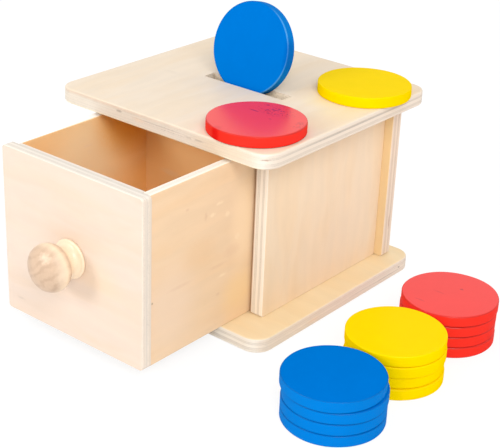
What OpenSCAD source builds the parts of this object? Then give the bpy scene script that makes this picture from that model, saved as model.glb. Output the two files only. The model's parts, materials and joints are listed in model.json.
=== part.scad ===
// Object permanence coin box: a slotted plywood box with a pull-out drawer, and painted wooden coins.
// Millimetres, +Z up. The origin is the middle of the base's underside, and the drawer opens towards -Y.

/* [Panels] */
// Width of the base and of the top
panel_w = 143; // [134:1:150]
// Depth of the base and of the top
panel_d = 140; // [136:1:150]
// Thickness of the plywood panels
ply_t = 8; // [7:0.5:9]
// Radius of the corners of the base and the top
corner_r = 10; // [6:1:14]
// Round-over along the rims of the base and the top
rim_ease = 1.2; // [0.6:0.1:2]
// Round-over along the edges of the other boards
edge_ease = 0.6; // [0.3:0.1:0.9]
// Radius of the corners of the side and back panels
board_corner_r = 1; // [1:0.5:3]

/* [Drawer bay] */
// Width between the side panels
bay_w = 96; // [90:1:98]
// Height between the base and the top
bay_h = 92; // [88:1:110]
// Depth from the mouth to the back panel
bay_d = 102; // [90:1:102]
// Distance from the base's front edge back to the mouth
bay_setback = 21; // [16:1:23]
// How far the back panel stands out past each side panel
back_lip = 5; // [2:1:7]

/* [Coin slot] */
// Length of the slot
slot_l = 54; // [52:1:60]
// Play of a coin across the slot
slot_play = 2.2; // [1.8:0.1:2.6]
// Distance of the slot behind the middle of the top
slot_back = 1.3; // [-2:0.1:4]

/* [Drawer] */
// Height of the drawer
drawer_h = 90; // [70:1:90]
// Play between the drawer's front and each side panel
drawer_play = 0.5; // [0.5:0.1:1.5]
// How far the drawer's front stands out past each of its sides
front_over = 0.8; // [0:0.1:1.5]
// Gap between the closed drawer and the back panel
drawer_stop_gap = 1; // [0.5:0.5:3]
// Thickness of the drawer's sides and back
wall_t = 5; // [4:0.5:6]
// Thickness of the drawer's bottom
floor_t = 4; // [3:0.5:5]
// Height of the bottom's groove above the drawer's lower edge
groove_up = 3; // [2.5:0.5:6]
// Depth of the groove that holds the bottom
groove_deep = 2.5; // [1.5:0.5:3]
// Radius of the corners of the drawer's front
front_corner_r = 2; // [1.5:0.5:6]
// Depth of the rebates in the front that hold the sides
front_lap = 2; // [1:0.5:3]
// How far the drawer stands open
drawer_open = 80; // [0:1:85]

/* [Knob] */
// Diameter of the head
head_d = 24.5; // [22.5:0.5:26.5]
// Radius of the head's rounded rim
head_rim_r = 7; // [6.6:0.1:7.4]
// Distance from the foot to the head's widest ring
head_at = 13.8; // [13.5:0.1:14.1]
// Length of the knob
knob_l = 22.5; // [22:0.1:23]
// Diameter of the foot
foot_d = 20.5; // [19.5:0.5:21.5]
// Radius of the bead round the foot
foot_bead_r = 0.9; // [0.8:0.1:1]
// Radius of the hollow between the foot and the head
cove_r = 3.2; // [3:0.1:4]
// Distance of the knob below the middle of the drawer's front
knob_down = 0.8; // [-2:0.1:2]

/* [Coins] */
// Diameter of a coin
coin_d = 50; // [46:1:50]
// Thickness of a coin
coin_t = 6; // [5:0.5:6]
// Round-over along a coin's rims
coin_ease = 0.7; // [0.4:0.1:1.2]
// Lean of the coin that stands in the slot, in degrees
slot_coin_lean = 14; // [12:1:18]
// Distance of the standing coin from the middle of the slot
slot_coin_aside = -1.5; // [-3:0.1:3]
// Middle of the red coin that lies on the top
red_top_at = [44.5, -45.7]; // [-46:0.1:46]
// Middle of the yellow coin that lies on the top
yellow_top_at = [50.7, 37.5]; // [-51:0.1:51]
// Middle of the blue stack on the table
blue_stack_at = [129.6, -87.4]; // [-180:0.1:180]
// Middle of the yellow stack on the table
yellow_stack_at = [128.7, -35.7]; // [-180:0.1:180]
// Middle of the red stack on the table
red_stack_at = [128, 15.5]; // [-180:0.1:180]

/* [Fastenings] */
// Diameter of the dowels in the panels
dowel_d = 4; // [3:0.5:5]
// Length of the dowels in the panels
dowel_l = 14; // [12:1:18]
// Diameter of the dowels in the drawer
small_dowel_d = 2.5; // [2:0.5:3]
// Length of the dowels in the drawer
small_dowel_l = 12; // [10:1:14]
// Diameter of the screws
screw_d = 3; // [2.5:0.5:3.5]
// Diameter of the screw heads
screw_head_d = 6; // [5.5:0.5:7]
// Length of the screws under the base
base_screw_l = 22; // [18:1:30]
// Length of the knob's screw
knob_screw_l = 22; // [18:1:24]

/* [Hidden] */
$fn = 64;
fit = 0.05;
slip = 0.2;
past = 1;

top_z = ply_t + bay_h;
deck_z = top_z + ply_t;
mouth_y = bay_setback - panel_d / 2;
bay_back_y = mouth_y + bay_d;
side_mid_x = (bay_w + ply_t) / 2;
back_mid_y = bay_back_y + ply_t / 2;
back_w = bay_w + 2 * (ply_t + back_lip);
slot_w = coin_t + slot_play;

// The standing coin leans back on the slot's far rim, and its lower edge stands against the slot's near wall
lean_gap = 0.3;
coin_slice = coin_t / cos(slot_coin_lean);
slot_coin_in = (slot_w - 2 * lean_gap - coin_slice) / tan(slot_coin_lean);
slot_coin_up = (coin_d * cos(slot_coin_lean) + coin_t * sin(slot_coin_lean)) / 2 - slot_coin_in;
slot_coin_y = slot_back + slot_w / 2 - lean_gap - coin_slice / 2 + slot_coin_up * tan(slot_coin_lean);

drawer_w = bay_w - 2 * drawer_play;
drawer_l = bay_d - drawer_stop_gap;
drawer_at = [0, mouth_y - drawer_open, ply_t + slip];
body_w = drawer_w - 2 * front_over;
inner_w = body_w - 2 * wall_t;
inner_l = drawer_l - ply_t - wall_t;
groove_t = floor_t + slip;
knob_z = drawer_h / 2 - knob_down;

// The screws under the base and the dowels in the top stand in these places of the walls' middle lines
side_pin_y = [mouth_y + 18, bay_back_y - 18];
back_pin_x = [-back_w / 3, back_w / 3];
pin_at = concat(
    [for (side = [-1, 1], y = side_pin_y) [side * side_mid_x, y]],
    [for (x = back_pin_x) [x, back_mid_y]]
);
wall_pin_z = [ply_t + 22, top_z - 22];
drawer_pin_z = [24, drawer_h - 18];
blind = 5;
small_blind = 3;
head_h = (screw_head_d - screw_d) / 2;
screw_sunk = 0.3;

// The knob's profile is drawn with the radius along X and the distance from the drawer's front along Y
head_rim_at = [head_d / 2 - head_rim_r, head_at];
foot_bead_at = [foot_d / 2 - foot_bead_r, foot_bead_r];
cove_at = outer_meeting(foot_bead_at, foot_bead_r + cove_r, head_rim_at, head_rim_r + cove_r);
crown_y = crown_middle(head_rim_at, head_rim_r, knob_l);
crown_r = knob_l - crown_y;

// Each stack is a colour, its middle, and how far each coin lies off it, from the lowest coin up
STACKS = [
    ["blue", blue_stack_at, [[0.3, 0.2], [0.2, 0.3], [0.6, 0.3], [-0.4, -0.3]]],
    ["yellow", yellow_stack_at, [[0.5, -0.4], [-0.3, 0.2], [0.5, -0.1], [0, 0]]],
    ["red", red_stack_at, [[-0.3, 0.1], [-0.5, 0], [-0.3, -0.2], [0, 0]]],
];
STACKED_COINS = [
    for (stack = STACKS, i = [0 : len(stack[2]) - 1])
        [str(stack[0], "_stack_coin_", i + 1), stack[0], concat(stack[1] + stack[2][i], i * coin_t)]
];
TOP_COINS = [
    ["red_top_coin", "red", concat(red_top_at, deck_z)],
    ["yellow_top_coin", "yellow", concat(yellow_top_at, deck_z)],
];
LYING_COINS = concat(TOP_COINS, STACKED_COINS);

BIRCH = [0.93, 0.83, 0.68];
BIRCH_INSIDE = [0.86, 0.66, 0.44];
TURNED_BEECH = [0.9, 0.77, 0.6];
DOWEL_BEECH = [0.84, 0.7, 0.5];
STEEL = [0.72, 0.72, 0.74];

function paint(name) = name == "blue" ? [0, 0.43, 0.83] : name == "red" ? [0.93, 0.2, 0.2] : [1, 0.84, 0.05];

// Where a circle of radius rp about p meets one of radius rq about q, on the side away from the axis
function outer_meeting(p, rp, q, rq) =
    let (d = norm(q - p), along = (rp * rp - rq * rq + d * d) / (2 * d), off = sqrt(rp * rp - along * along))
    p + along * (q - p) / d + off * [q[1] - p[1], p[0] - q[0]] / d;

// Height on the axis of the middle of the arc that starts at the tip and runs smoothly into the rim's arc
function crown_middle(rim, rim_r, tip) =
    let (reach = tip - rim_r)
    (reach * reach - rim[0] * rim[0] - rim[1] * rim[1]) / (2 * (reach - rim[1]));

// Point of the circle of radius r about p that faces q
function towards(p, r, q) = p + r * (q - p) / norm(q - p);

// Half of a board's cross-section, from X = 0 out to an edge whose two rims are rounded over
module eased_half(run, thick, ease) {
    square([run - ease, thick]);
    translate([0, ease]) square([run, thick - 2 * ease]);
    for (y = [ease, thick - ease]) translate([run - ease, y]) circle(ease);
}

// A board lying on Z = 0 with rounded corners, and with both rims rounded over all the way round
module eased_board(w, d, thick, r, ease) {
    translate([r - w / 2, r - d / 2]) cube([w - 2 * r, d - 2 * r, thick]);
    for (turn = [0, 180]) rotate(turn) {
        translate([w / 2 - r, d / 2 - r]) rotate([90, 0, 0])
            linear_extrude(d - 2 * r) eased_half(r, thick, ease);
        translate([r - w / 2, d / 2 - r]) rotate([90, 0, 90])
            linear_extrude(w - 2 * r) eased_half(r, thick, ease);
        translate([w / 2 - r, d / 2 - r]) rotate_extrude(angle = 90) eased_half(r, thick, ease);
        translate([r - w / 2, d / 2 - r]) rotate(90) rotate_extrude(angle = 90) eased_half(r, thick, ease);
    }
}

// A rectangle from the origin with its four corners rounded
module rounded_rect(w, d, r) {
    translate([r, 0]) square([w - 2 * r, d]);
    translate([0, r]) square([w, d - 2 * r]);
    for (x = [r, w - r], y = [r, d - r]) translate([x, y]) circle(r);
}

module dowel(d, l) { cylinder(d = d, h = l); }

module dowel_hole(d, l) { cylinder(d = d + 2 * fit, h = l + fit); }

// A countersunk screw, its head at Z = 0, with a cross cut into the head
module screw(l) {
    difference() {
        union() {
            cylinder(d1 = screw_head_d, d2 = screw_d, h = head_h);
            cylinder(d = screw_d, h = l - screw_d / 2);
            translate([0, 0, l - screw_d / 2]) cylinder(d1 = screw_d, d2 = screw_d / 3, h = screw_d / 2);
        }
        for (turn = [0, 90]) rotate(turn) translate([-1.5, -0.35, -past]) cube([3, 0.7, past + 1]);
    }
}

// The hole for that screw, open below Z = 0
module screw_hole(l) {
    cylinder(d = screw_d + 2 * fit, h = l + fit);
    cylinder(d1 = screw_head_d + 2 * fit, d2 = screw_d + 2 * fit, h = head_h);
    translate([0, 0, -past]) cylinder(d = screw_head_d + 2 * fit, h = past);
}

// Each pin's place along the walls' middle lines
module at_pins() {
    for (p = pin_at) translate(p) children();
}

// Both of the back panel's joints with one side panel
module at_back_pins(side) {
    for (z = wall_pin_z) translate([side * side_mid_x, bay_back_y + blind, z]) rotate([90, 0, 0]) children();
}

module base_screw_holes() {
    at_pins() translate([0, 0, screw_sunk]) screw_hole(base_screw_l);
}

module top_dowel_holes() {
    at_pins() translate([0, 0, top_z + blind - dowel_l - fit]) dowel_hole(dowel_d, dowel_l + fit);
}

module base_panel() {
    color(BIRCH) difference() {
        eased_board(panel_w, panel_d, ply_t, corner_r, rim_ease);
        base_screw_holes();
    }
}

module top_panel() {
    color(BIRCH) difference() {
        translate([0, 0, top_z]) eased_board(panel_w, panel_d, ply_t, corner_r, rim_ease);
        translate([-slot_l / 2, slot_back - slot_w / 2, top_z - past])
            cube([slot_l, slot_w, ply_t + 2 * past]);
        top_dowel_holes();
    }
}

// A side panel: side is -1 for the left one and 1 for the right one
module side_panel(side) {
    color(BIRCH) difference() {
        translate([side * side_mid_x - ply_t / 2, mouth_y + bay_d / 2, ply_t + bay_h / 2]) rotate([90, 0, 90])
            eased_board(bay_d, bay_h, ply_t, board_corner_r, edge_ease);
        base_screw_holes();
        top_dowel_holes();
        at_back_pins(side) translate([0, 0, -fit]) dowel_hole(dowel_d, dowel_l + fit);
    }
}

module back_panel() {
    color(BIRCH) difference() {
        translate([0, bay_back_y + ply_t, ply_t + bay_h / 2]) rotate([90, 0, 0])
            eased_board(back_w, bay_h, ply_t, board_corner_r, edge_ease);
        base_screw_holes();
        top_dowel_holes();
        for (side = [-1, 1]) at_back_pins(side) translate([0, 0, -fit]) dowel_hole(dowel_d, dowel_l + fit);
    }
}

module base_screws() {
    color(STEEL) at_pins() translate([0, 0, screw_sunk]) screw(base_screw_l);
}

module top_dowels() {
    color(DOWEL_BEECH) at_pins() translate([0, 0, top_z + blind - dowel_l]) dowel(dowel_d, dowel_l);
}

module back_dowels() {
    color(DOWEL_BEECH) for (side = [-1, 1]) at_back_pins(side) dowel(dowel_d, dowel_l);
}

// The drawer's parts are drawn with the middle of the front's lower edge at the origin
module in_drawer() {
    translate(drawer_at) children();
}

// The space that the bottom's edge takes up in the four boards round it
module bottom_groove() {
    translate([-inner_w / 2 - groove_deep, ply_t - groove_deep, groove_up])
        cube([inner_w + 2 * groove_deep, inner_l + 2 * groove_deep, groove_t]);
}

// The space that the front ends of the drawer's sides take up in the front
module front_rebates() {
    for (x = [-drawer_w / 2 - past, inner_w / 2])
        translate([x, ply_t - front_lap, -past])
            cube([wall_t + front_over + past, front_lap + past, drawer_h + 2 * past]);
}

module at_front_pins() {
    for (side = [-1, 1], z = drawer_pin_z)
        translate([side * (body_w - wall_t) / 2, ply_t - blind, z]) rotate([-90, 0, 0]) children();
}

module at_rear_pins() {
    for (side = [-1, 1], z = drawer_pin_z)
        translate([side * (inner_w / 2 + small_blind), drawer_l - wall_t / 2, z])
            rotate([0, -side * 90, 0]) children();
}

module drawer_dowel_holes() {
    at_front_pins() translate([0, 0, -fit]) dowel_hole(small_dowel_d, small_dowel_l + fit);
    at_rear_pins() translate([0, 0, -fit]) dowel_hole(small_dowel_d, small_dowel_l + fit);
}

module drawer_front() {
    color(BIRCH) in_drawer() difference() {
        translate([0, ply_t, drawer_h / 2]) rotate([90, 0, 0])
            eased_board(drawer_w, drawer_h, ply_t, front_corner_r, edge_ease);
        front_rebates();
        bottom_groove();
        drawer_dowel_holes();
        translate([0, -past, knob_z]) rotate([-90, 0, 0])
            cylinder(d = screw_d + 2 * fit, h = ply_t + 2 * past);
        translate([0, ply_t - screw_sunk, knob_z]) rotate([90, 0, 0]) screw_hole(ply_t);
    }
}

// A side of the drawer, with its long edges rounded over and its front end in a rebate of the front
module drawer_side(side) {
    color(BIRCH_INSIDE) in_drawer() difference() {
        translate([side * (body_w - wall_t) / 2 - wall_t / 2, drawer_l, 0]) rotate([90, 0, 0])
            linear_extrude(drawer_l - ply_t + front_lap) rounded_rect(wall_t, drawer_h, edge_ease);
        bottom_groove();
        drawer_dowel_holes();
    }
}

module drawer_back() {
    color(BIRCH_INSIDE) in_drawer() difference() {
        translate([-inner_w / 2, drawer_l - wall_t, 0]) rotate([90, 0, 90])
            linear_extrude(inner_w) rounded_rect(wall_t, drawer_h, edge_ease);
        bottom_groove();
        drawer_dowel_holes();
    }
}

module drawer_bottom() {
    lap = groove_deep - slip;
    color(BIRCH_INSIDE) in_drawer()
        translate([-inner_w / 2 - lap, ply_t - lap, groove_up + slip / 2])
            cube([inner_w + 2 * lap, inner_l + 2 * lap, floor_t]);
}

module drawer_dowels() {
    color(DOWEL_BEECH) in_drawer() {
        at_front_pins() dowel(small_dowel_d, small_dowel_l);
        at_rear_pins() dowel(small_dowel_d, small_dowel_l);
    }
}

// Half of the turned knob's outline: a beaded foot, a hollow neck and a domed head that run into each other
module knob_outline() {
    foot_touch = towards(foot_bead_at, foot_bead_r, cove_at);
    head_touch = towards(head_rim_at, head_rim_r, cove_at);
    crown_touch = towards([0, crown_y], crown_r, head_rim_at);
    square([foot_bead_at[0], foot_touch[1]]);
    translate(foot_bead_at) circle(foot_bead_r);
    difference() {
        polygon([[0, 0], [foot_touch[0], 0], foot_touch, head_touch, [0, head_touch[1]]]);
        translate(cove_at) circle(cove_r);
    }
    translate(head_rim_at) circle(head_rim_r);
    translate([0, head_touch[1]]) square([head_rim_at[0], crown_touch[1] - head_touch[1]]);
    intersection() {
        translate([0, crown_y]) circle(crown_r);
        translate([0, head_at]) square([crown_touch[0], knob_l]);
    }
}

module drawer_knob() {
    color(TURNED_BEECH) in_drawer() difference() {
        translate([0, 0, knob_z]) rotate([90, 0, 0]) rotate_extrude() intersection() {
            knob_outline();
            square([head_d, knob_l + past]);
        }
        translate([0, ply_t - screw_sunk, knob_z]) rotate([90, 0, 0]) screw_hole(knob_screw_l);
    }
}

module knob_screw() {
    color(STEEL) in_drawer()
        translate([0, ply_t - screw_sunk, knob_z]) rotate([90, 0, 0]) screw(knob_screw_l);
}

// A plain disc with both rims rounded over
module coin(name) {
    color(paint(name)) rotate_extrude() eased_half(coin_d / 2, coin_t, coin_ease);
}

module blue_slot_coin() {
    translate([slot_coin_aside, slot_coin_y, deck_z + slot_coin_up]) rotate([90 - slot_coin_lean, 0, 0])
        translate([0, 0, -coin_t / 2]) coin("blue");
}

base_panel();
top_panel();
side_panel(-1);  // left_side_panel
side_panel(1);  // right_side_panel
back_panel();
drawer_front();
drawer_side(-1);  // drawer_left_side
drawer_side(1);  // drawer_right_side
drawer_back();
drawer_bottom();
drawer_knob();
knob_screw();
base_screws();
top_dowels();
back_dowels();
drawer_dowels();
blue_slot_coin();
for (c = LYING_COINS) translate(c[2]) coin(c[1]);
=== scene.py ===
"""Looks of a wooden coin box: birch plywood boards, a turned knob, painted coins and screws on a pale floor.

Lengths are metres in the frame of the packed model: the origin is the middle of the base's underside,
+Z is up and the drawer opens towards -Y. Patterns in the wood and the paint are written in millimetres.
"""

import json
import math
from functools import partialmethod, reduce
from operator import add
from typing import NamedTuple

import bpy
import numpy as np
from bpy.props import FloatProperty, FloatVectorProperty, PointerProperty
from mathutils import Matrix, Vector

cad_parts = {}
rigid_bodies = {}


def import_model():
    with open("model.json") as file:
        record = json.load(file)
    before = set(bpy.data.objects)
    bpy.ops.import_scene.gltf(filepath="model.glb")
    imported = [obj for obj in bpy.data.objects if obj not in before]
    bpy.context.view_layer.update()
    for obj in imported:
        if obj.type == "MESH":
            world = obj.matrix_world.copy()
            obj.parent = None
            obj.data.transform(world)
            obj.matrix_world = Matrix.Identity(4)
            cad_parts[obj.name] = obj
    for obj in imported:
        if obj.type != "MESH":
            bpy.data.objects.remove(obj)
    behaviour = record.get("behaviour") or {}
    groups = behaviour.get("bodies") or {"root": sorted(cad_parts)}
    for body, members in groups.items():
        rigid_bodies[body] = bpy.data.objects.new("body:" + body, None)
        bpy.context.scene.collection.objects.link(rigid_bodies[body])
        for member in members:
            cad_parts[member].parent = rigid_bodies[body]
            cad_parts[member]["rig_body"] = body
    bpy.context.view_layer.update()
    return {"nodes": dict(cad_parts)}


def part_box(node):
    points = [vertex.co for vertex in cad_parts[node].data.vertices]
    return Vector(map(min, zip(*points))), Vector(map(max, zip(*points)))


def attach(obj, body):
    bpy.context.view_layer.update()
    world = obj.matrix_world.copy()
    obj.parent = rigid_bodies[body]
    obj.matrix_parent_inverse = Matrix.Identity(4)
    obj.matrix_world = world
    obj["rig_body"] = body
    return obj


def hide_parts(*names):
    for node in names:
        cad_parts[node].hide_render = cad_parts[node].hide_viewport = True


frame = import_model()

bl_info = {
    "name": "Coin Box Looks",
    "version": (1, 0, 0),
    "blender": (4, 5, 0),
    "location": "View3D > Sidebar > Coin Box",
    "description": "Dresses the packed coin box in birch, paint and steel, and sets it on a pale floor",
    "category": "Object",
}

MM = 1000.0
X, Y, Z = 0, 1, 2

# Where one ply of a board ends and the next begins, as shares of the board's thickness
PANEL_PLIES = (0.21, 0.38, 0.61, 0.74)
WALL_PLIES = (0.30, 0.70)


class Board(NamedTuple):
    """A plywood board.

    It has its node, the axes through it and along its face grain, the veneers of its faces on the low and
    the high side of the axis through it, its plies, how dark the cross plies are on its edges, how light the
    edges are, and a number of its own.
    """

    node: str
    through: int
    grain: int
    low_face: str
    high_face: str
    plies: tuple
    core_shade: float
    edge_tone: float
    number: float


class Mark(NamedTuple):
    """A mark on the wood or the paint: a natural mark, painted light or painted shade.

    It has its middle and reach along X, Y and Z in millimetres, its colour, its strength and how far it is
    broken up into grit.
    """

    middle: tuple
    reach: tuple
    colour: tuple
    strength: float
    broken: float = 0.0


def on_face(axis, at, reach, *rows):
    """Marks on one flat face, across the axis at that place.

    Each row has a middle and a reach along the face's two axes, then a colour, a strength and how broken.
    """
    marks = []
    for along, across, reach_along, reach_across, *rest in rows:
        middle, spread = [along, across], [reach_along, reach_across]
        middle.insert(axis, at)
        spread.insert(axis, reach)
        marks.append(Mark(tuple(middle), tuple(spread), *rest))
    return tuple(marks)


PANELS = (
    Board("base_panel", Z, X, "base", "base", PANEL_PLIES, 0.25, 0.97, 1.0),
    Board("top_panel", Z, Y, "top", "top", PANEL_PLIES, 0.12, 0.92, 2.0),
    Board("left_side_panel", X, Z, "side", "side", PANEL_PLIES, 0.32, 1.0, 3.0),
    Board("right_side_panel", X, Z, "side", "side", PANEL_PLIES, 0.32, 1.0, 4.0),
    Board("back_panel", Y, Z, "back", "back", PANEL_PLIES, 0.3, 1.0, 5.0),
)
DRAWER_BOARDS = (
    Board("drawer_front", Y, X, "front", "inside", PANEL_PLIES, 0.24, 0.97, 6.0),
    Board("drawer_left_side", X, Y, "drawer", "inside", WALL_PLIES, 0.05, 1.0, 7.0),
    Board("drawer_right_side", X, Y, "inside", "drawer", WALL_PLIES, 0.05, 1.0, 8.0),
    Board("drawer_back", Y, X, "inside", "drawer", WALL_PLIES, 0.05, 1.0, 9.0),
    Board("drawer_bottom", Z, X, "drawer", "inside", WALL_PLIES, 0.05, 1.0, 10.0),
)

# Marks with a longer reach than this have a soft rim, and how wide and deep the teeth of a ragged rim are
RAGGED_REACH = 6.0
RAGGED_WIDTH = 1.6
RAGGED_DEPTH = 0.9
GRIT_WIDTH = 0.9

# Patterns of the plywood in millimetres: along the grain, across it and into the wood
FIBRE_SIZE = (15.0, 0.6, 0.6)
FLECK_SIZE = (3.5, 0.45, 0.45)
FIGURE_SIZE = (60.0, 13.0, 9.0)
MOTTLE_SIZE = (16.0, 8.0, 8.0)
PORE_SIZE = (0.55, 0.55, 0.4)
PLY_WAVE = 25.0
PLY_WAVER = 0.7
FIGURE_TINT = (0.98, 0.95, 0.90)

# Patterns of the painted wood, the dowels and the steel in millimetres
PAINTED_FIBRE_SIZE = (12.0, 0.8, 0.8)
PAINT_CLOUD_WIDTH = 11.0
PAINT_PEEL_WIDTH = 0.9
DOWEL_FIBRE_WIDTH = 0.9
DOWEL_FLECK_WIDTH = 0.4
STEEL_CLOUD_WIDTH = 1.4

# Patterns of the knob's wood in millimetres along X, Y and Z, with its grain along Y, and its pith's place
KNOB_SWAY_SIZE = (6.0, 30.0, 6.0)
KNOB_PATCH_SIZE = (5.0, 20.0, 5.0)
KNOB_FIBRE_SIZE = (0.5, 9.0, 0.5)
KNOB_PORE_SIZE = (0.4, 3.0, 0.4)
PITH_LEFT = 29.0
PITH_UP = 37.0

# Depths of the relief of the knob, the dowels and the steel in metres
KNOB_RELIEF = 0.00002
DOWEL_RELIEF = 0.00003
STEEL_RELIEF = 0.00001

# Colours of the marks in linear light: natural marks, and painted light and shade
VOID_BROWN = (0.16, 0.10, 0.06)
BARK_GREY = (0.34, 0.29, 0.24)
CORE_BROWN = (0.42, 0.20, 0.13)
STREAK_BROWN = (0.70, 0.44, 0.27)
PALE_CURL = (0.96, 0.75, 0.52)
PINK_SAP = (0.84, 0.625, 0.45)
HONEY_SAP = (0.89, 0.615, 0.32)
PALE_SAP = (0.92, 0.68, 0.44)
# Painted reflection: the yellow glow that the yellow coin throws on the top panel
PAINTED_YELLOW_GLOW = (0.92, 0.745, 0.36)
# Painted light for the walls of the coin slot, which lie in shade
PAINTED_SLOT_LIGHT = (1.0, 0.82, 0.60)
# Painted shadow of the narrow gap between the drawer and the right side panel
PAINTED_GAP_SHADOW = (0.42, 0.20, 0.08)
# Painted shade deep in the drawer, under the top panel
PAINTED_DEEP_SHADE = (0.93, 0.465, 0.07)
# Painted light on the lit part of the drawer's inner left wall
PAINTED_WALL_LIGHT = (1.0, 0.79, 0.49)
# Painted light on the drawer's inner back
PAINTED_BACK_LIGHT = (1.0, 0.68, 0.335)
# Plain white, laid along the top edge of the drawer's left wall
PLAIN_WHITE = (1.0, 1.0, 1.0)
GREY_EDGE = (0.66, 0.60, 0.54)
TAN_EDGE = (0.66, 0.58, 0.48)
WARM_EDGE = (0.74, 0.55, 0.34)
# Painted shade that tones down the glint on the top panel's upper front rim
PAINTED_RIM_SHADE = (0.66, 0.52, 0.40)
# Painted light on the top panel's lower front rim, which lies in shade
PAINTED_RIM_LIGHT = (1.0, 0.93, 0.72)
WARM_SAP = (0.80, 0.53, 0.30)
SAW_BROWN = (0.42, 0.26, 0.13)
KNOB_CREAM = (0.90, 0.71, 0.52)
SCUFF_RED = (0.34, 0.0, 0.015)
SHADE_RED = (0.72, 0.004, 0.004)
SHADE_BLUE = (0.0, 0.10, 0.45)
EDGE_MARKS = {
    "top_panel": (
        *on_face(
            Y, -70, 3,
            (-45, 104, 70, 9, TAN_EDGE, 0.5),
            (44, 104, 30, 9, WARM_EDGE, 0.5),
            # Painted shade along the upper rim of the front edge, toning down the glint it catches
            (-40, 107.5, 110, 1.7, PAINTED_RIM_SHADE, 0.9),
            # Painted light along the lower rim of the front edge, which lies in shade
            (0, 100.3, 300, 1.1, PAINTED_RIM_LIGHT, 0.9),
        ),
        *on_face(
            Y, -70, 2,
            (-25.7, 105.6, 3, 0.8, BARK_GREY, 0.6),
            (-11.6, 104.4, 6, 1.6, PINK_SAP, 0.4),
            (2, 105, 22, 0.7, BARK_GREY, 0.45, 0.4),
            (8, 103.8, 30, 0.5, BARK_GREY, 0.4, 0.5),
            (28.7, 104.5, 5, 0.7, BARK_GREY, 0.45),
            (21.5, 104.4, 3, 0.6, BARK_GREY, 0.35),
        ),
        Mark((67.6, -67, 105.1), (4.5, 2.5, 0.6), CORE_BROWN, 0.7),
        Mark((71.5, 0, 105.2), (2.5, 75, 0.9), BARK_GREY, 0.55, 0.2),
        # Painted light: the slot's walls are lit up where they lie in shade, with brown specks laid over
        # them
        Mark((0, 1.3, 104), (50, 30, 14), PAINTED_SLOT_LIGHT, 1),
        Mark((0, 1.3, 104), (50, 30, 14), SAW_BROWN, 0.35, 1),
    ),
    "base_panel": on_face(
        X, 71.5, 2,
        (55.7, 4.2, 1.3, 0.6, VOID_BROWN, 0.8),
        (18, 3.6, 16, 0.5, BARK_GREY, 0.35, 0.3),
        (42, 3, 20, 0.5, BARK_GREY, 0.5, 0.2),
        (-25, 3.1, 8, 1.6, PINK_SAP, 0.5),
    ),
    # Painted shadow: a dark line at the inner corner of the panel's front edge, for the shade in the gap
    # beside the drawer
    "right_side_panel": (Mark((47.6, -49, 54), (1.8, 4, 300), PAINTED_GAP_SHADOW, 0.9),),
    "back_panel": (
        Mark((61, 55, 54), (6, 16, 100), STREAK_BROWN, 0.3),
        Mark((61, 57.6, 28.5), (2, 0.7, 6), CORE_BROWN, 0.6),
    ),
    "drawer_front": (
        Mark((0, -125, 99), (200, 30, 2), GREY_EDGE, 0.35),
        Mark((0, -123.4, 99), (200, 5, 2), GREY_EDGE, 0.35),
        Mark((47.5, -125.9, 54), (3, 1.6, 300), GREY_EDGE, 0.25),
        Mark((47.5, -122.3, 54), (3, 1, 300), GREY_EDGE, 0.6),
    ),
    # A plain white band along the top edge of the left wall
    "drawer_left_side": (Mark((-44.2, -80, 99), (40, 600, 2), PLAIN_WHITE, 1),),
}
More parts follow.
